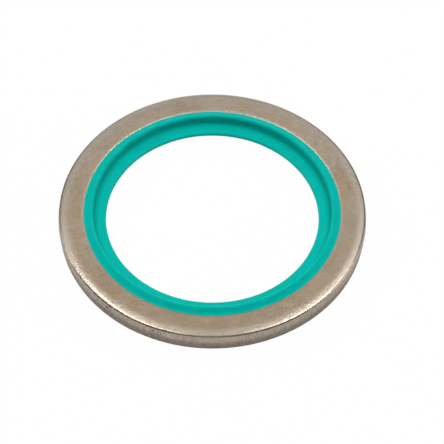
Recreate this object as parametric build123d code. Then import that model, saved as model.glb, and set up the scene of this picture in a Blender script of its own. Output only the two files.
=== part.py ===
"""Bonded sealing washer: a stamped metal ring with a moulded elastomer sealing ring bonded into its bore.

Millimetres, +Z up. The origin is on the hole's axis, halfway between the metal ring's two flat faces.
"""
from build123d import *
from math import acos, atan2, ceil, cos, degrees, hypot, radians, sin, tan
import os

# Sealing ring, from the hole outwards: a thin web that centres the washer on a thread, then the lips
web_bore_radius = 12.065  # at the root of a G 3/4 pipe thread
web_reach = 1.435  # from the hole to the lips
web_thickness = 0.45  # at the hole
web_slope = 7  # degrees, by which each face of the web rises towards its lip
web_edge_chamfer = 0.06
web_root_radius = 0.65  # between the web and the lip's flank
lip_width = 1.065
lip_height = 0.36  # how far each lip stands proud of the metal's flat face
lip_crest_radius = 0.25
lip_draft = 8  # degrees, on the flank that faces the hole
bend_step = 17  # degrees, the most that the moulded roundings turn from one narrow band to the next

# Metal ring, blanked from strip so that its upper edges are drawn down and its lower ones break away
ring_width = 2.9
ring_thickness = 2.49
outer_roll_width = 1.15
outer_roll_depth = 0.16
bore_roll_width = 0.5
bore_roll_depth = 0.055
rim_edge_radius = 0.18  # where the outer roll meets the side wall
rim_draft = 0.1  # how far the side wall's upper edge lies in from its widest line
fracture_height = 1.45  # of the side wall's rough zone, from the lower face to the widest line
fracture_lean = 0.135  # how far that zone leans in by the lower face
lower_edge_chamfer = 0.1

root_share = 0.9  # of the web's face or the lip's flank, the most that the root's rounding may take up

# Places that follow from the sizes
lip_bore_radius = web_bore_radius + web_reach
ring_bore_radius = lip_bore_radius + lip_width
ring_outer_radius = ring_bore_radius + ring_width
face_height = ring_thickness / 2
upper_foot_height = face_height - bore_roll_depth
lower_foot_height = face_height - lower_edge_chamfer


def metal_section():
    """Section of the metal ring, with X as the radius."""
    upper_rim = (ring_outer_radius - rim_draft, 0, face_height - outer_roll_depth)
    widest_line = (ring_outer_radius, 0, fracture_height - face_height)
    lower_rim = (ring_outer_radius - fracture_lean, 0, -face_height)
    lower_bore_edge = (ring_bore_radius, 0, -face_height)
    upper_bore_edge = (ring_bore_radius, 0, upper_foot_height)
    bore_roll_start = (ring_bore_radius + bore_roll_width, 0, face_height)
    outer_roll_start = (ring_outer_radius - outer_roll_width, 0, face_height)
    outline = Curve() + [
        TangentArc(outer_roll_start, upper_rim, tangent=(1, 0, 0)),
        Polyline(upper_rim, widest_line, lower_rim, lower_bore_edge, upper_bore_edge),
        TangentArc(bore_roll_start, upper_bore_edge, tangent=(-1, 0, 0)),
        Line(bore_roll_start, outer_roll_start),
    ]
    section = make_face(outline)
    section = fillet(corner(section, upper_rim), rim_edge_radius)
    section = chamfer(corner(section, lower_rim), lower_edge_chamfer)
    return chamfer(corner(section, lower_bore_edge), lower_edge_chamfer)


def corner(section, point):
    """The section's corner at a point."""
    return section.vertices().sort_by_distance(point)[0]


def arc_points(centre_x, centre_z, radius, start, end):
    """Points round an arc, from one angle to another in degrees, none turning by more than bend_step."""
    steps = ceil(abs(end - start) / bend_step)
    angles = [radians(start + (end - start) * step / steps) for step in range(steps + 1)]
    return [(centre_x + radius * cos(angle), 0, centre_z + radius * sin(angle)) for angle in angles]


def half_seal_section(foot_height):
    """Section of the sealing ring above its middle, with a lip whose foot meets the metal at foot_height."""
    draft = radians(lip_draft)
    slope = radians(web_slope)

    # The lip's top is a tangent from its rounded crest down to its foot
    crest_x = lip_bore_radius + lip_crest_radius
    crest_z = face_height + lip_height - lip_crest_radius
    foot_run = ring_bore_radius - crest_x
    foot_rise = foot_height - crest_z
    top_normal = degrees(atan2(foot_rise, foot_run) + acos(lip_crest_radius / hypot(foot_run, foot_rise)))

    # The flank leaves the crest at the draft angle and meets the web's sloping face at the root
    flank_x = crest_x - lip_crest_radius * cos(draft)
    flank_z = crest_z + lip_crest_radius * sin(draft)
    web_edge_z = web_thickness / 2
    level_reach = flank_x - flank_z * tan(draft) - web_bore_radius
    root_z = (web_edge_z + level_reach * tan(slope)) / (1 - tan(draft) * tan(slope))
    root_x = flank_x - (flank_z - root_z) * tan(draft)

    # The root's rounding touches both, and leaves some of each straight
    flank_length = hypot(flank_x - root_x, flank_z - root_z)
    web_length = hypot(root_x - web_bore_radius, root_z - web_edge_z) - web_edge_chamfer
    half_turn = (radians(90) - draft - slope) / 2
    root_radius = min(web_root_radius, root_share * min(flank_length, web_length) / tan(half_turn))
    root_shift = root_radius / (1 + sin(draft + slope))
    round_x = root_x - root_shift * (cos(draft) + sin(slope))
    round_z = root_z + root_shift * (sin(draft) + cos(slope))

    outline = Polyline(
        (ring_bore_radius, 0, 0),
        (ring_bore_radius, 0, foot_height),
        *arc_points(crest_x, crest_z, lip_crest_radius, top_normal, 90),
        *arc_points(crest_x, crest_z, lip_crest_radius, 90, 180 - lip_draft)[1:],
        *arc_points(round_x, round_z, root_radius, -lip_draft, web_slope - 90),
        (web_bore_radius + web_edge_chamfer, 0, web_edge_z + web_edge_chamfer * tan(slope)),
        (web_bore_radius, 0, web_edge_z - web_edge_chamfer),
        (web_bore_radius, 0, 0),
        close=True,
    )
    return make_face(outline)


metal_ring = revolve(metal_section(), Axis.Z)

seal_section = half_seal_section(upper_foot_height) + mirror(half_seal_section(lower_foot_height), Plane.XY)
sealing_ring = revolve(seal_section, Axis.Z)

os.makedirs("parts", exist_ok=True)
export_step(metal_ring, "parts/metal_ring.step")
export_step(sealing_ring, "parts/sealing_ring.step")
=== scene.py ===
# Bonded sealing washer: a stamped metal ring with a moulded sealing ring bonded into its bore.
# Sections, wear and patterns are in millimetres, radius first and then height. The camera, the lamps and
# the depths of bumps are in metres.
import math
import bmesh
import bpy
from mathutils import Matrix, Vector, noise


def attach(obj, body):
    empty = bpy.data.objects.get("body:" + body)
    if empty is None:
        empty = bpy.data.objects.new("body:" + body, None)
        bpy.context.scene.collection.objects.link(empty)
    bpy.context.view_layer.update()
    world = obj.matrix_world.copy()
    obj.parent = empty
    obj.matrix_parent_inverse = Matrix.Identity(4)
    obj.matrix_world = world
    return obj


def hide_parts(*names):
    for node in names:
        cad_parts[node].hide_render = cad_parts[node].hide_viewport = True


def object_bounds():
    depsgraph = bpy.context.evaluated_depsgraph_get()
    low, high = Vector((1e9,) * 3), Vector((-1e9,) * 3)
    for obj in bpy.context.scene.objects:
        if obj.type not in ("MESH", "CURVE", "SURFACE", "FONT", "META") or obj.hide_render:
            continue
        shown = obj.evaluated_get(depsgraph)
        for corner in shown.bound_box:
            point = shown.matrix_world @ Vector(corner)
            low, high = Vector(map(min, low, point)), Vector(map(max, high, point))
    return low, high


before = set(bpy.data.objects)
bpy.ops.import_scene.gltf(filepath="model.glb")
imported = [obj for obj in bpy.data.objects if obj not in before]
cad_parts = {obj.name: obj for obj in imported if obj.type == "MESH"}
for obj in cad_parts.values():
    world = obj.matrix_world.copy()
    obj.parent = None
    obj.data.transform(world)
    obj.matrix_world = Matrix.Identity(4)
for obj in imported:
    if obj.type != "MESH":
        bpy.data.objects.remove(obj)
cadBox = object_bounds()
scene = bpy.context.scene
print("loaded the frame:", ", ".join(sorted(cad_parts)))

bondRadius = 14.565      # both sections meet on this face
mergeDistance = 0.0005


def drawSection(corners):
    # A closed wire through the corners, each one rounded by its own reach
    section = bmesh.new()
    points = [section.verts.new((radius, 0, height)) for radius, height, reach, segments in corners]
    for here, after in zip(points, points[1:] + points[:1]):
        section.edges.new((here, after))
    for point, (radius, height, reach, segments) in zip(points, corners):
        if segments:
            bmesh.ops.bevel(section, geom=[point], offset=reach, offset_type="OFFSET", segments=segments,
                            profile=0.5, affect="VERTICES", material=-1)
    bmesh.ops.remove_doubles(section, verts=section.verts[:], dist=mergeDistance)
    return section


def divideSection(section, settings):
    # Long straight runs get enough points to carry relief, and the underside and the bonded face fewer
    step, bareStep, bareBelow = settings["step"], settings["bareStep"], settings["bareBelow"]
    for edge in section.edges[:]:
        under = all(vert.co.z < bareBelow for vert in edge.verts)
        bonded = all(abs(vert.co.x - bondRadius) < 0.001 for vert in edge.verts)
        cuts = math.ceil(edge.calc_length() / (bareStep if under or bonded else step)) - 1
        if cuts > 0:
            bmesh.ops.subdivide_edges(section, edges=[edge], cuts=cuts)


def spinSection(section, sectors, steps):
    # One sector is swept out in small steps, and its copies close the ring
    turn = 2 * math.pi / sectors
    bmesh.ops.spin(section, geom=section.verts[:] + section.edges[:], cent=(0, 0, 0), axis=(0, 0, 1),
                   dvec=(0, 0, 0), angle=turn, steps=steps)
    bmesh.ops.spin(section, geom=section.verts[:] + section.edges[:] + section.faces[:], cent=(0, 0, 0),
                   axis=(0, 0, 1), dvec=(0, 0, 0), angle=2 * math.pi - turn, steps=sectors - 1,
                   use_duplicate=True)
    bmesh.ops.remove_doubles(section, verts=section.verts[:], dist=mergeDistance)
    bmesh.ops.recalc_face_normals(section, faces=section.faces[:])


def finishPiece(shape, name, sharpAngle):
    # Millimetres to metres, with the object itself left at the origin
    bmesh.ops.scale(shape, vec=(0.001, 0.001, 0.001), verts=shape.verts[:])
    bmesh.ops.recalc_face_normals(shape, faces=shape.faces[:])
    mesh = bpy.data.meshes.new(name)
    shape.to_mesh(mesh)
    shape.free()
    mesh.shade_smooth()
    mesh.set_sharp_from_angle(angle=math.radians(sharpAngle))
    piece = bpy.data.objects.new(name, mesh)
    scene.collection.objects.link(piece)
    print(name, "has", len(mesh.polygons), "faces")
    return piece


def smoothStep(low, high, value):
    share = min(1.0, max(0.0, (value - low) / (high - low)))
    return share * share * (3 - 2 * share)


def newMaterial(name):
    material = bpy.data.materials.new(name)
    material.use_nodes = True
    tree = material.node_tree
    return material, tree, tree.nodes["Principled BSDF"]


def mathNode(tree, operation, *values):
    node = tree.nodes.new("ShaderNodeMath")
    node.operation = operation
    for socket, value in zip(node.inputs, values):
        if isinstance(value, (int, float)):
            socket.default_value = value
        else:
            tree.links.new(value, socket)
    return node.outputs[0]


def times(tree, product, *others):
    for other in others:
        product = mathNode(tree, "MULTIPLY", product, other)
    return product


def plus(tree, total, *others):
    for other in others:
        total = mathNode(tree, "ADD", total, other)
    return total


def fade(tree, value, low, high, atLow=0.0, atHigh=1.0):
    node = tree.nodes.new("ShaderNodeMapRange")
    node.interpolation_type = "SMOOTHSTEP"
    tree.links.new(value, node.inputs["Value"])
    for socket, number in zip(("From Min", "From Max", "To Min", "To Max"), (low, high, atLow, atHigh)):
        node.inputs[socket].default_value = number
    return node.outputs["Result"]


def ringPlace(tree):
    # Object coordinates in millimetres, with the radius, the height and the direction from the axis
    place = tree.nodes.new("ShaderNodeTexCoord").outputs["Object"]
    inMillimetres = tree.nodes.new("ShaderNodeVectorMath")
    inMillimetres.operation = "SCALE"
    inMillimetres.inputs["Scale"].default_value = 1000
    tree.links.new(place, inMillimetres.inputs[0])
    flat = tree.nodes.new("ShaderNodeVectorMath")
    flat.operation = "MULTIPLY"
    flat.inputs[1].default_value = (1, 1, 0)
    tree.links.new(inMillimetres.outputs[0], flat.inputs[0])
    radius = tree.nodes.new("ShaderNodeVectorMath")
    radius.operation = "LENGTH"
    tree.links.new(flat.outputs[0], radius.inputs[0])
    around = tree.nodes.new("ShaderNodeVectorMath")
    around.operation = "NORMALIZE"
    tree.links.new(flat.outputs[0], around.inputs[0])
    apart = tree.nodes.new("ShaderNodeSeparateXYZ")
    tree.links.new(inMillimetres.outputs[0], apart.inputs[0])
    return inMillimetres.outputs[0], radius.outputs["Value"], apart.outputs["Z"], around.outputs[0]


def ringCoordinates(tree, around, along, turns, run):
    # For a pattern that follows the ring: turns is its fineness round the axis, run its fineness across
    spread = tree.nodes.new("ShaderNodeVectorMath")
    spread.operation = "SCALE"
    spread.inputs["Scale"].default_value = turns
    tree.links.new(around, spread.inputs[0])
    lift = tree.nodes.new("ShaderNodeCombineXYZ")
    tree.links.new(times(tree, along, run), lift.inputs["Z"])
    both = tree.nodes.new("ShaderNodeVectorMath")
    both.operation = "ADD"
    tree.links.new(spread.outputs[0], both.inputs[0])
    tree.links.new(lift.outputs[0], both.inputs[1])
    return both.outputs[0]


def noiseNode(tree, vector, fineness, detail, roughness, distortion):
    node = tree.nodes.new("ShaderNodeTexNoise")
    sockets = {"Scale": fineness, "Detail": detail, "Roughness": roughness, "Distortion": distortion}
    for socket, value in sockets.items():
        node.inputs[socket].default_value = value
    tree.links.new(vector, node.inputs["Vector"])
    return node.outputs["Fac"]


def drawPatterns(tree, settings, place, radius, height, around):
    patterns = {name: noiseNode(tree, place, *shape) for name, shape in settings["solidPatterns"].items()}
    for kind, along in (("facePatterns", radius), ("wallPatterns", height)):
        for name, (turns, run, *shape) in settings.get(kind, {}).items():
            patterns[name] = noiseNode(tree, ringCoordinates(tree, around, along, turns, run), 1.0, *shape)
    return patterns


def attributeNode(tree, name):
    node = tree.nodes.new("ShaderNodeAttribute")
    node.attribute_name = name
    return node.outputs["Fac"]


def spotNode(tree, vector, fineness, size):
    # Round spots: 1 at a spot's middle, 0 outside it
    node = tree.nodes.new("ShaderNodeTexVoronoi")
    node.inputs["Scale"].default_value = fineness
    tree.links.new(vector, node.inputs["Vector"])
    return fade(tree, node.outputs["Distance"], size * 0.35, size, 1.0, 0.0)


def mixColour(tree, share, first, second):
    node = tree.nodes.new("ShaderNodeMix")
    node.data_type = "RGBA"
    # sockets 6 and 7 are the two colours, and output 2 is their mix
    for socket, value in ((node.inputs[0], share), (node.inputs[6], first), (node.inputs[7], second)):
        if isinstance(value, tuple):
            socket.default_value = (*value, 1)
        elif isinstance(value, (int, float)):
            socket.default_value = value
        else:
            tree.links.new(value, socket)
    return node.outputs[2]


def bumpNode(tree, height, depth, before=None):
    node = tree.nodes.new("ShaderNodeBump")
    node.inputs["Strength"].default_value = 1.0
    node.inputs["Distance"].default_value = depth
    tree.links.new(height, node.inputs["Height"])
    if before is not None:
        tree.links.new(before, node.inputs["Normal"])
    return node.outputs["Normal"]


cameraSettings = {
    "tilt": 0.9181,          # radians that the view looks down
    "roll": 0.0086,          # radians
    "distance": 0.290,
    "focal": 8.8348 * 290,   # pixels
    "frameWidth": 444,       # pixels
    "sensorWidth": 36,       # millimetres
    "right": 0.0010935,
    "down": 0.0013286,
    "aim": (0, 0, 0.001245),
}


def placeCamera(settings):
    tilt, roll = settings["tilt"], settings["roll"]
    back = Vector((0, -math.cos(tilt), math.sin(tilt)))
    level = Vector((1, 0, 0))
    upright = back.cross(level)
    right = math.cos(roll) * level + math.sin(roll) * upright
    up = math.cos(roll) * upright - math.sin(roll) * level
    spot = Vector(settings["aim"]) + settings["distance"] * back
    spot += settings["right"] * right - settings["down"] * up
    lens = bpy.data.cameras.new("camera")
    lens.sensor_width = settings["sensorWidth"]
    lens.lens = settings["focal"] * settings["sensorWidth"] / settings["frameWidth"]
    lens.clip_start, lens.clip_end = 0.01, 10
    camera = bpy.data.objects.new("camera", lens)
    camera.matrix_world = Matrix.Translation(spot) @ Matrix((right, up, back)).transposed().to_4x4()
    scene.collection.objects.link(camera)
    scene.camera = camera


placeCamera(cameraSettings)
print("placed the camera")


metalRing = {
    "corners": [
        # radius, height, reach of the rounding along each side, its segments
        (bondRadius, -1.245, 0.100, 4),   # lower bore edge
        (17.330, -1.245, 0.100, 4),       # lower rim, where the fracture ends
        (17.465, 0.205, 0.200, 4),        # the wall's widest line, where the fracture starts
        (17.3550, 1.0820, 0.150, 8),      # upper rim
        (16.983, 1.1768, 0.190, 6),       # outer roll, drawn down by the punch
        (16.425, 1.245, 0.352, 8),        # where the outer roll leaves the flat face
        (14.745, 1.245, 0.160, 8),        # bore roll
        (bondRadius, 1.190, 0.0, 0),      # upper bore edge, where the seal begins
    ],
    "step": 0.14,
    "bareStep": 0.28,
    "sectors": 24,
    "steps": 45,             # in each sector
    "sharpAngle": 35,
    "wornFrom": 16.0,        # nothing nearer the axis is worn
    "bareBelow": -1.24,      # nor anything lower
    "turnInward": (16.9, 17.3),    # wear goes down into the face and inward into the wall
    "wall": (17.20, 17.37),
    "fractureTop": 0.205,
    "fractureSoftness": 0.16,
    "fractureDepth": 0.030,
    "raggedness": [
        # fineness, height, seed
        (0.55, 0.22, 3.1), (2.1, 0.10, 7.7),
    ],
    "tornFineness": (3.4, 3.4, 2.2),
    "wallDepth": 0.006,
    "streaks": (95, 0.5),    # fineness round the axis and up the wall
    "arcRadius": 17.4,       # at which a mark's length is measured
    "markEdge": (0.15, 1.0),
    "markFineness": 9,
    "markRaggedness": 0.35,
    "marks": [
        # degrees round the axis, radius, height, size along, size across, depth, darkness
        # nicks along the rim
        (197, 17.35, 1.03, 0.16, 0.16, 0.035, 0.5), (201, 17.35, 1.06, 0.11, 0.11, 0.030, 0.4),
        (204, 17.35, 1.00, 0.14, 0.14, 0.030, 0.5), (208, 17.33, 1.08, 0.12, 0.12, 0.035, 0.4),
        (213, 17.35, 1.05, 0.15, 0.15, 0.030, 0.5), (216, 17.35, 1.02, 0.10, 0.10, 0.025, 0.4),
        (222, 17.35, 1.07, 0.12, 0.12, 0.025, 0.4), (229, 17.35, 0.99, 0.13, 0.13, 0.030, 0.5),
        (31, 17.35, 1.05, 0.12, 0.12, 0.025, 0.4),
        (112, 17.35, 1.05, 0.13, 0.13, 0.025, 0.4), (151, 17.35, 1.03, 0.11, 0.11, 0.025, 0.4),
        # a long dull stretch of the rim, knocked back a little
        (223, 17.36, 1.04, 7.00, 0.46, 0.032, 0.0),
        # beads of dirt along the rim
        (243.1, 17.36, 1.03, 0.20, 0.12, 0.015, 0.85), (244.5, 17.36, 1.04, 0.16, 0.12, 0.015, 0.85),
        (246.3, 17.36, 1.03, 0.22, 0.12, 0.015, 0.90), (247.8, 17.36, 1.04, 0.16, 0.12, 0.015, 0.85),
        (248.6, 17.36, 1.04, 0.12, 0.12, 0.015, 0.80), (250.0, 17.36, 1.03, 0.18, 0.13, 0.020, 0.95),
        (251.2, 17.36, 1.04, 0.15, 0.12, 0.015, 0.90), (252.7, 17.36, 1.03, 0.22, 0.13, 0.020, 0.95),
        (254.6, 17.36, 1.04, 0.14, 0.12, 0.015, 0.60), (229.9, 17.36, 1.02, 0.50, 0.14, 0.015, 0.60),
        (222.4, 17.28, 1.10, 0.10, 0.22, 0.030, 0.60), (253.6, 17.25, 1.12, 0.08, 0.25, 0.030, 0.70),
        # pits in the side wall
        (228.8, 17.45, 0.43, 0.22, 0.34, 0.040, 0.95), (228.3, 17.42, 0.66, 0.14, 0.26, 0.030, 0.90),
        (227.3, 17.40, -0.49, 0.16, 0.25, 0.030, 0.80), (231.1, 17.44, -0.08, 0.20, 0.20, 0.030, 0.70),
        (229.8, 17.46, 0.08, 0.16, 0.20, 0.030, 0.70), (223.7, 17.44, 0.51, 0.14, 0.26, 0.030, 0.70),
        (223.5, 17.39, -0.64, 0.25, 0.20, 0.020, 0.70), (225.1, 17.38, -0.67, 0.20, 0.20, 0.020, 0.60),
        (235.6, 17.40, 0.81, 0.20, 0.20, 0.030, 0.60), (237.4, 17.37, -0.80, 0.20, 0.20, 0.020, 0.60),
        (244.8, 17.46, 0.15, 0.18, 0.18, 0.035, 0.90), (248.5, 17.43, 0.58, 0.16, 0.32, 0.035, 0.95),
        (248.2, 17.44, -0.12, 0.14, 0.20, 0.030, 0.90), (247.9, 17.37, -0.92, 0.20, 0.16, 0.030, 0.80),
        (249.4, 17.46, 0.12, 0.12, 0.16, 0.030, 0.70), (250.3, 17.44, 0.42, 0.14, 0.14, 0.030, 0.60),
        (251.6, 17.44, 0.48, 0.12, 0.20, 0.030, 0.60), (251.6, 17.39, 0.86, 0.14, 0.14, 0.020, 0.60),
        (219.0, 17.45, 0.30, 0.14, 0.16, 0.025, 0.50), (305.0, 17.45, 0.35, 0.14, 0.14, 0.020, 0.40),
        (66.0, 17.45, 0.40, 0.15, 0.15, 0.030, 0.50), (140.0, 17.42, 0.60, 0.13, 0.13, 0.030, 0.50),
        # faint strokes across the upper face
        (254.1, 16.80, 1.22, 0.09, 0.55, 0.006, 0.38), (252.9, 16.75, 1.22, 0.08, 0.50, 0.006, 0.30),
        (251.8, 16.70, 1.23, 0.08, 0.45, 0.006, 0.32), (250.9, 16.75, 1.22, 0.07, 0.40, 0.006, 0.25),
        (246.6, 16.85, 1.21, 0.08, 0.28, 0.006, 0.35), (245.6, 16.88, 1.21, 0.07, 0.24, 0.006, 0.35),
        (260.5, 16.75, 1.22, 0.09, 0.35, 0.006, 0.35), (236.5, 16.80, 1.22, 0.09, 0.25, 0.006, 0.35),
        (287.5, 16.80, 1.22, 0.08, 0.26, 0.006, 0.35),
        (222.5, 16.90, 1.20, 0.08, 0.24, 0.006, 0.35), (214.0, 16.75, 1.22, 0.09, 0.24, 0.006, 0.35),
    ],
    "pittedStretches": [
        # degrees round the axis, half the stretch in degrees, how thickly pitted
        (224.5, 3.0, 0.5), (229.2, 2.2, 0.8), (236.0, 3.0, 0.4), (249.6, 2.6, 0.6),
    ],
    "scuffedStretches": [(222.0, 31.0, 1.0)],
}


def wallRelief(settings, spot, outward, wall):
    # The torn zone below the fracture line, and fine streaks up the whole wall
    x, y, z = spot
    ragged = sum(height * noise.noise(Vector((x * fineness, y * fineness, seed)))
                 for fineness, height, seed in settings["raggedness"])
    torn = smoothStep(0.0, settings["fractureSoftness"], settings["fractureTop"] + ragged - z) * wall
    grain = noise.fractal(spot * Vector(settings["tornFineness"]), 0.9, 2.1, 3)
    turns, run = settings["streaks"]
    streak = noise.noise(outward * turns + Vector((0, 0, z * run)))
    depth = torn * settings["fractureDepth"] * (0.45 + 0.45 * grain)
    return depth + wall * settings["wallDepth"] * (0.5 + 0.5 * streak)


def wearMetal(shape, settings):
    # Only ever takes metal away, so the ring keeps its size, and notes what is dirty, pitted and scuffed
    soiled = shape.verts.layers.float.new("soiled")
    pitted = shape.verts.layers.float.new("pitted")
    scuffed = shape.verts.layers.float.new("scuffed")
    marks = [(math.radians(mark[0]),) + mark[1:] for mark in settings["marks"]]
    arcRadius, fineness = settings["arcRadius"], settings["markFineness"]
    moves = []
    for vert in shape.verts:
        x, y, z = vert.co
        radius = math.hypot(x, y)
        if radius < settings["wornFrom"] or z < settings["bareBelow"]:
            continue
        angle = math.atan2(y, x)
        outward = Vector((x / radius, y / radius, 0))
        inward = Vector((0, 0, 1)).lerp(outward, smoothStep(*settings["turnInward"], radius))
        wall = smoothStep(*settings["wall"], radius)
        depth = wallRelief(settings, vert.co, outward, wall)
        dirt = 0.0
        for markAngle, markRadius, markHeight, along, across, markDepth, darkness in marks:
            turn = (angle - markAngle + math.pi) % (2 * math.pi) - math.pi
            if abs(turn) * arcRadius < 2 * along and abs(radius - markRadius) < 2 * across:
                aside = (radius - markRadius) ** 2 + (z - markHeight) ** 2
                away = math.sqrt((turn * arcRadius / along) ** 2 + aside / across ** 2)
                away += settings["markRaggedness"] * noise.noise(Vector((x, y, z)) * fineness)
                share = 1 - smoothStep(*settings["markEdge"], away)
                depth += markDepth * share
                dirt = max(dirt, darkness * share)
        vert[soiled] = dirt
        for layer, stretches in ((pitted, settings["pittedStretches"]), (scuffed, settings["scuffedStretches"])):
            for middle, half, thickness in stretches:
                turn = abs((math.degrees(angle) - middle + 180) % 360 - 180)
                vert[layer] = max(vert[layer], thickness * (1 - smoothStep(0.5 * half, half, turn)))
        moves.append((vert, inward * max(0.0, depth)))
    for vert, move in moves:
        vert.co -= move


def buildMetalRing(settings):
    section = drawSection(settings["corners"])
    divideSection(section, settings)
    print("metal section has", len(section.verts), "points")
    spinSection(section, settings["sectors"], settings["steps"])
    wearMetal(section, settings)
    return finishPiece(section, "stamped_ring", settings["sharpAngle"])


stampedRing = buildMetalRing(metalRing)
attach(stampedRing, "root")
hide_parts("metal_ring")


sealingRing = {
    "corners": [
        (bondRadius, 1.190, 0.0, 0),    # foot of the upper lip, on the metal
        (14.370, 1.230, 0.160, 7),      # hollow where the upper lip runs out
        (13.816, 1.605, 0.066, 4),      # upper crest, outer side
        (13.5327, 1.605, 0.2173, 9),    # upper crest, hole side
        (13.361, 0.384, 0.499, 12),     # upper root, between the flank and the web
        (12.065, 0.225, 0.060, 3),      # upper edge of the web
        (12.065, -0.225, 0.060, 3),     # lower edge of the web
        (13.361, -0.384, 0.499, 12),    # lower root
        (13.5327, -1.605, 0.2173, 9),   # lower crest, hole side
        (13.821, -1.605, 0.071, 4),     # lower crest, outer side
        (bondRadius, -1.145, 0.0, 0),   # foot of the lower lip
    ],
    "step": 0.16,
    "bareStep": 0.16,
    "bareBelow": -1.24,      # as on the metal
    "sectors": 24,
    "steps": 30,             # in each sector
    "sharpAngle": 40,
    "trimmedTo": 12.13,      # the web's edge, as far out as the trimming reaches
    "trimDepth": 0.022,
    "trimFineness": (26, 1.5),     # round the axis and across the edge
}


def trimSeal(shape, settings):
    # The web's edge is a little uneven where the mould's flash came off
    turns, run = settings["trimFineness"]
    for vert in shape.verts:
        x, y, z = vert.co
        radius = math.hypot(x, y)
        if radius < settings["trimmedTo"]:
            outward = Vector((x / radius, y / radius, 0))
            uneven = 0.5 + 0.5 * noise.fractal(outward * turns + Vector((0, 0, z * run)), 0.8, 2.0, 3)
            vert.co += outward * settings["trimDepth"] * max(0.0, min(1.0, uneven))


def buildSealingRing(settings):
    section = drawSection(settings["corners"])
    divideSection(section, settings)
    print("seal section has", len(section.verts), "points")
    spinSection(section, settings["sectors"], settings["steps"])
    trimSeal(section, settings)
    return finishPiece(section, "moulded_seal", settings["sharpAngle"])


mouldedSeal = buildSealingRing(sealingRing)
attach(mouldedSeal, "root")
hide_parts("sealing_ring")


satinSteel = {
    "warmDeep": (0.338, 0.253, 0.168),
    "warmPale": (0.424, 0.339, 0.250),
    "coolDeep": (0.320, 0.261, 0.199),
    "coolPale": (0.408, 0.349, 0.288),
    # lighter, whiter tone of the rolls: real burnish, and partly a painted highlight that widens and whitens the
    # highlight on them
    "burnished": (0.478, 0.406, 0.328),
    "edgeWarm": (0.450, 0.372, 0.278),
    "edgeCool": (0.440, 0.366, 0.312),
    "torn": (0.300, 0.250, 0.203),
    "dark": (0.090, 0.078, 0.068),
    "paintedLightDrift": (0.0012, 0.0058, 0),    # painted light: how the tone turns paler and cooler across the ring towards +y, per millimetre, standing in for how the light falls on the face
    "paintedLightPaleness": 0.55,
    "rimwardCooling": (-0.14, 0.18),
    "roughness": 0.34,
    "burnishedRoughness": 0.295,
    "patternRoughness": 0.08,        # what the grain and the mottle add on average
    "zones": {
        # the two ends of each zone's fade, by radius or by height
        "wall": (17.26, 17.36),
        "roll": (16.4, 17.1),
        # burnish and painted highlight on the outer roll
        "burnishAndHighlight": (16.15, 17.0),
        "boreRoll": (14.98, 14.72),
        "scuffStart": (16.45, 16.75),
        "scuffEnd": (17.05, 16.80),
        "rimward": (15.2, 17.2),
        "upper": (0.90, 1.05),
        "polishedRim": (0.80, 1.06),
        # painted shade: the wall is darker towards its bottom edge, standing in for the contact shadow there
        "foot": (-1.26, -0.75),
        "torn": (0.10, 0.90),
    },
    "limits": {
        # the values of a pattern between which a tone changes over
        "pale": (0.37, 0.63),
        "cool": (0.34, 0.66),
        "wallTint": (0.36, 0.64),
        "scratches": (0.36, 0.58),
        "pitting": (0.50, 0.60),
    },
    "solidPatterns": {
        # fineness, detail, roughness, distortion
        "mottle": (0.30, 3.0, 0.55, 0.6),
        "cloud": (1.7, 3.0, 0.6, 0.3),
        "grain": (4.6, 3.0, 0.6, 0.0),
        "fine": (11.0, 2.0, 0.6, 0.0),
        "pitting": (4.2, 3.0, 0.7, 0.0),
    },
    "facePatterns": {
        # fineness round the axis and outward, detail, roughness, distortion
        "sweep": (12, 1.5, 4.0, 0.6, 0.4),
        "tint": (5.5, 0.5, 5.0, 0.6, 0.8),
        "radialStrokes": (120, 1.1, 3.0, 0.6, 0.0),
    },
    "wallPatterns": {
        # fineness round the axis and upward, detail, roughness, distortion
        "axialScratches": (150, 1.5, 4.0, 0.7, 0.0),
        "broadStreaks": (34, 0.35, 2.0, 0.6, 0.0),
        "raggedness": (22, 0.6, 4.0, 0.65, 0.0),
        "wallTint": (20, 0.9, 3.0, 0.6, 0.0),
    },
    "specks": (1.9, 0.12),
    "raggedHeight": 0.9,
    "blotch": {"mottle": 0.26, "sweep": 0.28, "cloud": 0.10, "grain": 0.36},
    "scratches": {"axialScratches": 0.78, "broadStreaks": 0.22},
    "strength": {
        # how much of a zone's own colour shows
        "burnishAndHighlight": 0.8,
        "boreRoll": 0.3,
        "torn": 0.85,
        "foot": 0.40,
        "specks": 0.16,
    },
    "scratchStrength": (0.50, 0.10),     # on the wall, and on its polished rim
    "addedRoughness": {"grain": 0.10, "mottle": 0.06, "torn": 0.14},
    "calmOnRoll": {"cloud": 0.45, "grain": 0.38},
    "strokeMiddle": 0.47,                # so that scuffs don't tilt the roll as a whole
    "bumps": {
        "cloud": 0.000024,
        "fine": 0.000006,
        "grain": 0.000034,
        "specks": 0.000008,
        "strokes": 0.000017,
        "scuffs": 0.000032,
        "scratches": 0.000030,
        "torn": 0.000060,
    },
}


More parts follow.
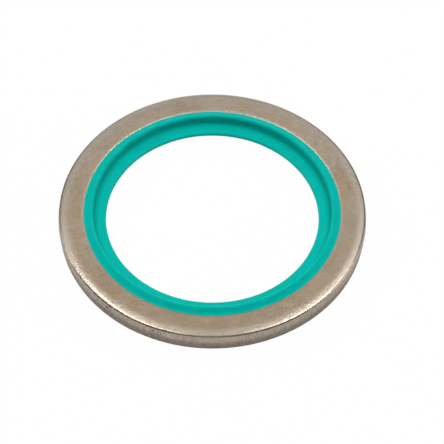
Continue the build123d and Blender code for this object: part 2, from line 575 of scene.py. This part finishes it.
def steelZones(tree, settings, patterns, radius, height):
    # Each zone is 1 where it is full and 0 outside it
    zones, limits = settings["zones"], settings["limits"]
    wall = fade(tree, radius, *zones["wall"])
    upper = fade(tree, height, *zones["upper"])
    scuffBand = times(tree, fade(tree, radius, *zones["scuffStart"]), fade(tree, radius, *zones["scuffEnd"]))
    tornHeight = plus(tree, height, times(tree, patterns["raggedness"], settings["raggedHeight"]))
    return {
        "wall": wall,
        "roll": times(tree, fade(tree, radius, *zones["roll"]), upper),
        "boreRoll": times(tree, fade(tree, radius, *zones["boreRoll"]), upper),
        "burnishAndHighlight": times(tree, fade(tree, radius, *zones["burnishAndHighlight"]), upper),
        "torn": times(tree, wall, fade(tree, tornHeight, *zones["torn"], 1.0, 0.0)),
        "foot": times(tree, wall, fade(tree, height, *zones["foot"], 1.0, 0.0)),
        "scuffs": times(tree, attributeNode(tree, "scuffed"), scuffBand),
        "pits": times(tree, attributeNode(tree, "pitted"), wall,
                      fade(tree, patterns["pitting"], *limits["pitting"])),
    }


def blend(tree, patterns, shares):
    return plus(tree, *(times(tree, patterns[name], share) for name, share in shares.items()))


def steelColour(tree, settings, patterns, zones, place, radius, height):
    limits, strength, dark = settings["limits"], settings["strength"], settings["dark"]

    # Deep and pale patches, each of them warmer or cooler, and cooler altogether towards the rim, with painted
    # light turning the ring paler and cooler towards +y
    slope = tree.nodes.new("ShaderNodeVectorMath")
    slope.operation = "DOT_PRODUCT"
    slope.inputs[1].default_value = settings["paintedLightDrift"]
    tree.links.new(place, slope.inputs[0])
    paintedLightDrift = slope.outputs["Value"]
    blotch = blend(tree, patterns, settings["blotch"])
    pale = fade(tree, plus(tree, blotch, times(tree, paintedLightDrift, settings["paintedLightPaleness"])), *limits["pale"])
    rimward = fade(tree, radius, *settings["zones"]["rimward"], *settings["rimwardCooling"])
    cool = fade(tree, plus(tree, patterns["tint"], rimward, paintedLightDrift), *limits["cool"])
    warmSide = mixColour(tree, pale, settings["warmDeep"], settings["warmPale"])
    coolSide = mixColour(tree, pale, settings["coolDeep"], settings["coolPale"])
    colour = mixColour(tree, cool, warmSide, coolSide)
    # The rolls' burnish, partly a painted highlight: their lighter, whiter tone also stands in for the spread of
    # the highlight
    for zone in ("burnishAndHighlight", "boreRoll"):
        colour = mixColour(tree, times(tree, zones[zone], strength[zone]), colour, settings["burnished"])

    wallTint = fade(tree, patterns["wallTint"], *limits["wallTint"])
    wallColour = mixColour(tree, wallTint, settings["edgeWarm"], settings["edgeCool"])
    colour = mixColour(tree, zones["wall"], colour, wallColour)
    colour = mixColour(tree, times(tree, zones["torn"], strength["torn"]), colour, settings["torn"])
    scratches = fade(tree, blend(tree, patterns, settings["scratches"]), *limits["scratches"], 1.0, 0.0)
    scratchShare = fade(tree, height, *settings["zones"]["polishedRim"], *settings["scratchStrength"])
    scratches = times(tree, scratches, times(tree, zones["wall"], scratchShare))
    soiled = mathNode(tree, "MAXIMUM", attributeNode(tree, "soiled"), zones["pits"])
    # Painted shade: darker towards the bottom of the wall, where the contact shadow falls
    foot = times(tree, zones["foot"], strength["foot"])
    specks = times(tree, patterns["specks"], strength["specks"])
    for share in (scratches, foot, specks, soiled):
        colour = mixColour(tree, share, colour, dark)
    return colour


def steelRoughness(tree, settings, patterns, zones):
    plain = settings["roughness"] - settings["patternRoughness"]
    burnished = settings["burnishedRoughness"] - settings["patternRoughness"]
    rough = fade(tree, zones["roll"], 0.0, 1.0, plain, burnished)
    sources = {**patterns, "torn": zones["torn"]}
    added = [times(tree, sources[name], share) for name, share in settings["addedRoughness"].items()]
    return plus(tree, rough, *added)


def steelRelief(tree, settings, patterns, zones):
    roll, strokes = zones["roll"], patterns["radialStrokes"]
    calm = {name: times(tree, patterns[name], fade(tree, roll, 0.0, 1.0, 1.0, onRoll))
            for name, onRoll in settings["calmOnRoll"].items()}
    centred = mathNode(tree, "SUBTRACT", strokes, settings["strokeMiddle"])
    heights = {
        "cloud": calm["cloud"],
        "fine": patterns["fine"],
        "grain": calm["grain"],
        "specks": mathNode(tree, "SUBTRACT", 0.0, patterns["specks"]),
        "strokes": times(tree, strokes, roll),
        "scuffs": times(tree, zones["scuffs"], centred),
        "scratches": times(tree, patterns["axialScratches"], zones["wall"]),
        "torn": times(tree, zones["torn"], patterns["grain"]),
    }
    normal = None
    for name, depth in settings["bumps"].items():
        normal = bumpNode(tree, heights[name], depth, normal)
    return normal


def satinSteelMaterial(settings):
    material, tree, shader = newMaterial("satin_steel")
    place, radius, height, around = ringPlace(tree)
    patterns = drawPatterns(tree, settings, place, radius, height, around)
    patterns["specks"] = spotNode(tree, place, *settings["specks"])
    zones = steelZones(tree, settings, patterns, radius, height)
    colour = steelColour(tree, settings, patterns, zones, place, radius, height)
    tree.links.new(colour, shader.inputs["Base Color"])
    shader.inputs["Metallic"].default_value = 1.0
    tree.links.new(steelRoughness(tree, settings, patterns, zones), shader.inputs["Roughness"])
    tree.links.new(steelRelief(tree, settings, patterns, zones), shader.inputs["Normal"])
    return material


stampedRing.data.materials.append(satinSteelMaterial(satinSteel))
print("finished the metal")


tealElastomer = {
    "fresh": (0.0003, 0.495, 0.425),
    "shade": (0.0003, 0.440, 0.375),
    # painted shade colour for the hollow below each lip
    "paintedGrooveShade": (0.0003, 0.360, 0.304),
    "dusty": (0.03, 0.50, 0.44),
    "roughness": 0.55,
    "skinRoughness": 0.12,
    "sheen": 0.13,
    "sheenTint": (0.10, 1.0, 0.94, 1),
    "toneLimits": (0.33, 0.67),
    "tone": {"flow": 0.6, "skin": 0.4},
    "solidPatterns": {
        # fineness, detail, roughness, distortion
        "skin": (9.0, 3.0, 0.6, 0.0),
    },
    "facePatterns": {
        # fineness round the axis and outward, detail, roughness, distortion
        "flow": (9, 0.9, 3.0, 0.55, 0.5),
    },
    "dust": (1.3, 0.07),             # fineness and size of its specks
    "dustStrength": 0.35,
    # where the painted shade below each lip goes
    "grooveRadius": (13.62, 13.52),
    "grooveBottom": (0.42, 0.70),    # heights above and below the middle
    "grooveTop": (1.40, 1.10),
    "bumps": {"flow": 0.00003, "skin": 0.000014},
}


def tealElastomerMaterial(settings):
    material, tree, shader = newMaterial("teal_elastomer")
    place, radius, height, around = ringPlace(tree)
    patterns = drawPatterns(tree, settings, place, radius, height, around)
    tone = fade(tree, blend(tree, patterns, settings["tone"]), *settings["toneLimits"])
    colour = mixColour(tree, tone, settings["shade"], settings["fresh"])

    # Painted shade: the hollow below each lip is painted a deeper tone, standing in for the shade that falls there
    level = mathNode(tree, "ABSOLUTE", height)
    between = times(tree, fade(tree, level, *settings["grooveBottom"]), fade(tree, level, *settings["grooveTop"]))
    paintedGrooveShade = times(tree, fade(tree, radius, *settings["grooveRadius"]), between)
    colour = mixColour(tree, paintedGrooveShade, colour, settings["paintedGrooveShade"])
    dust = times(tree, spotNode(tree, place, *settings["dust"]), settings["dustStrength"])
    colour = mixColour(tree, dust, colour, settings["dusty"])
    tree.links.new(colour, shader.inputs["Base Color"])

    skinRoughness = settings["skinRoughness"]
    rough = plus(tree, settings["roughness"] - skinRoughness / 2, times(tree, patterns["skin"], skinRoughness))
    tree.links.new(rough, shader.inputs["Roughness"])
    shader.inputs["Specular IOR Level"].default_value = settings["sheen"]
    shader.inputs["Specular Tint"].default_value = settings["sheenTint"]
    normal = None
    for name, depth in settings["bumps"].items():
        normal = bumpNode(tree, patterns[name], depth, normal)
    tree.links.new(normal, shader.inputs["Normal"])
    return material


mouldedSeal.data.materials.append(tealElastomerMaterial(tealElastomer))
print("finished the elastomer")


studio = {
    "floorRadius": 1.5,
    "floorSides": 96,
    "floorColour": (0.95, 0.95, 0.95),
    "ownWhite": 0.975,
    "mirroredWhite": 0.25,
    "sky": 0.06,
    "lamps": [
        # name, compass angle and height in degrees, distance, side length, watts
        ("keyLeft", 165, 65, 0.60, 0.20, 0.600),
        ("keyRight", 15, 65, 0.60, 0.20, 1.130),
        ("keyFront", 195, 65, 0.60, 0.20, 0.685),
        ("fillLeft", 165, 32, 0.60, 0.20, 0.615),
        ("highLeft", 135, 65, 0.60, 0.20, 0.197),
        ("backLeft", 120, 50, 0.60, 0.20, 0.115),
        ("backMiddle", 96, 50, 0.60, 0.20, 0.072),
        ("backRight", 72, 50, 0.60, 0.20, 0.151),
        ("farRight", 48, 50, 0.60, 0.20, 0.122),
        ("lowLeft", 105, 32, 0.60, 0.20, 0.116),
        ("lowRight", 75, 32, 0.60, 0.20, 0.097),
        ("edgeRight", 0, 14, 0.60, 0.20, 0.836),
        ("edgeBack", 90, 14, 0.60, 0.20, 0.130),
        ("front", 270, 40, 0.60, 0.20, 0.220),
    ],
}


def buildFloor(settings):
    shape = bmesh.new()
    bmesh.ops.create_circle(shape, cap_ends=True, segments=settings["floorSides"], radius=settings["floorRadius"])
    bmesh.ops.translate(shape, vec=(0, 0, cadBox[0].z), verts=shape.verts[:])
    mesh = bpy.data.meshes.new("floor")
    shape.to_mesh(mesh)
    shape.free()
    floor = bpy.data.objects.new("floor", mesh)
    scene.collection.objects.link(floor)

    # Part of the floor's white is its own, to the camera and in reflections, so the shadow on it stays faint
    material, tree, shader = newMaterial("pale_floor")
    shader.inputs["Base Color"].default_value = (*settings["floorColour"], 1)
    shader.inputs["Roughness"].default_value = 1.0
    shader.inputs["Specular IOR Level"].default_value = 0.0
    path = tree.nodes.new("ShaderNodeLightPath")
    mirrored = mathNode(tree, "MAXIMUM", path.outputs["Is Glossy Ray"], path.outputs["Is Transmission Ray"])
    glow = tree.nodes.new("ShaderNodeEmission")
    glow.inputs["Strength"].default_value = 1.0
    share = plus(tree, times(tree, path.outputs["Is Camera Ray"], settings["ownWhite"]),
                 times(tree, mirrored, settings["mirroredWhite"]))
    both = tree.nodes.new("ShaderNodeMixShader")
    tree.links.new(share, both.inputs[0])
    tree.links.new(shader.outputs[0], both.inputs[1])
    tree.links.new(glow.outputs[0], both.inputs[2])
    tree.links.new(both.outputs[0], tree.nodes["Material Output"].inputs["Surface"])
    mesh.materials.append(material)


def buildLight(settings):
    world = bpy.data.worlds.new("studio")
    world.use_nodes = True
    scene.world = world
    tree = world.node_tree
    path = tree.nodes.new("ShaderNodeLightPath")
    # White to the camera, and a faint sky to everything else
    level = plus(tree, settings["sky"], times(tree, path.outputs["Is Camera Ray"], 1 - settings["sky"]))
    background = tree.nodes["Background"]
    background.inputs["Color"].default_value = (1, 1, 1, 1)
    tree.links.new(level, background.inputs["Strength"])
    for name, compass, height, distance, side, watts in settings["lamps"]:
        data = bpy.data.lights.new(name, "AREA")
        data.shape = "SQUARE"
        data.size = side
        data.energy = watts
        lamp = bpy.data.objects.new(name, data)
        turn, rise = math.radians(compass), math.radians(height)
        away = Vector((math.cos(turn) * math.cos(rise), math.sin(turn) * math.cos(rise), math.sin(rise)))
        lamp.matrix_world = Matrix.Translation(away * distance) @ away.to_track_quat("Z", "Y").to_matrix().to_4x4()
        lamp.visible_camera = False
        scene.collection.objects.link(lamp)


buildFloor(studio)
buildLight(studio)
scene.view_settings.view_transform = "Standard"
print("built the floor and the light")
